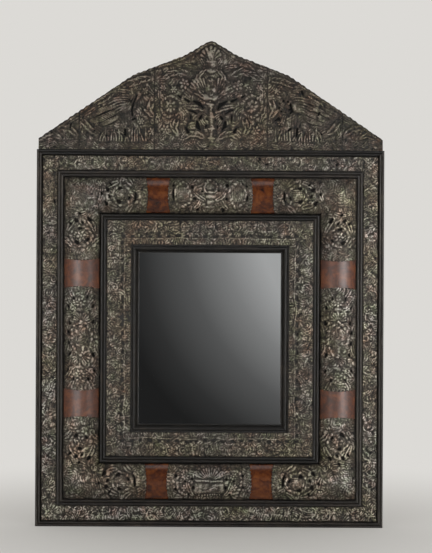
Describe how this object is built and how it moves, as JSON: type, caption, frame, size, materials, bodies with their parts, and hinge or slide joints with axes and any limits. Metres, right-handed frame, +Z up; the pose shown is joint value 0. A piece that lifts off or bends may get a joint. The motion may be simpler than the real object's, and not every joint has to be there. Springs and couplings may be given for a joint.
{
  "type": "wall mirror",
  "caption": "Wide cushion-frame wall mirror with embossed metal plaques, tortoiseshell panels, black mouldings and a tall lift-off crest; hangs from swinging rings.",
  "frame": {"origin": "centre of the mirror's frame, without its crest, on the back plane that faces the wall", "axes": "+X to the viewer's right, +Z up, +Y towards the wall, so the front faces -Y"},
  "size_m": [0.8, 0.0735, 1.118],
  "materials": {
    "embossed_metal": "embossed and pierced sheet, tarnished to grey-brown",
    "ebonised_wood": "wood stained black and waxed to a satin sheen",
    "tortoiseshell": "thin red-brown mottled veneer, polished",
    "oak": "aged, unpolished oak",
    "mirror_glass": "silvered flat glass",
    "iron": "forged iron, dark"
  },
  "bodies": {
    "frame": {"carcass_left_stile": "oak", "carcass_right_stile": "oak", "carcass_top_rail": "oak", "carcass_bottom_rail": "oak", "edge_moulding_bottom": "ebonised_wood", "edge_moulding_right": "ebonised_wood", "edge_moulding_top": "ebonised_wood", "edge_moulding_left": "ebonised_wood", "outer_band_bottom": "embossed_metal", "outer_band_right": "embossed_metal", "outer_band_top": "embossed_metal", "outer_band_left": "embossed_metal", "outer_moulding_bottom": "ebonised_wood", "outer_moulding_right": "ebonised_wood", "outer_moulding_top": "ebonised_wood", "outer_moulding_left": "ebonised_wood", "cushion_bottom": "ebonised_wood", "cushion_right": "ebonised_wood", "cushion_top": "ebonised_wood", "cushion_left": "ebonised_wood", "corner_plaque_bottom_right": "embossed_metal", "corner_plaque_top_right": "embossed_metal", "corner_plaque_top_left": "embossed_metal", "corner_plaque_bottom_left": "embossed_metal", "centre_plaque_bottom": "embossed_metal", "centre_plaque_right": "embossed_metal", "centre_plaque_top": "embossed_metal", "centre_plaque_left": "embossed_metal", "tortoiseshell_bottom": "tortoiseshell", "tortoiseshell_right": "tortoiseshell", "tortoiseshell_top": "tortoiseshell", "tortoiseshell_left": "tortoiseshell", "inner_moulding_bottom": "ebonised_wood", "inner_moulding_right": "ebonised_wood", "inner_moulding_top": "ebonised_wood", "inner_moulding_left": "ebonised_wood", "inner_frame_bottom": "ebonised_wood", "inner_frame_right": "ebonised_wood", "inner_frame_top": "ebonised_wood", "inner_frame_left": "ebonised_wood", "inner_band_bottom": "embossed_metal", "inner_band_right": "embossed_metal", "inner_band_top": "embossed_metal", "inner_band_left": "embossed_metal", "mirror_glass": "mirror_glass", "glass_blocks": "oak", "backboard_lower": "oak", "backboard_middle": "oak", "backboard_upper": "oak", "backboard_nails": "iron", "crest_keepers": "iron", "hanging_eyes": "iron"},
    "crest": {"crest_board": "oak", "crest_sheet_left": "embossed_metal", "crest_sheet_centre": "embossed_metal", "crest_sheet_right": "embossed_metal", "crest_battens": "oak", "crest_screws": "iron"},
    "hanging_ring_left": {"hanging_ring_left": "iron"},
    "hanging_ring_right": {"hanging_ring_right": "iron"}
  },
  "joints": [
    {"name": "crest_lift", "type": "slide", "parent": "frame", "child": "crest", "axis": [0, 0, 1], "range_m": [0, 0.135]},
    {"name": "ring_swing_left", "type": "hinge", "parent": "frame", "child": "hanging_ring_left", "pos_m": [-0.288, 0.00823, 0.3], "axis": [1, 0, 0], "range_deg": [-10, 190]},
    {"name": "ring_swing_right", "type": "hinge", "parent": "frame", "child": "hanging_ring_right", "pos_m": [0.288, 0.00823, 0.3], "axis": [1, 0, 0], "range_deg": [-10, 190]}
  ]
}
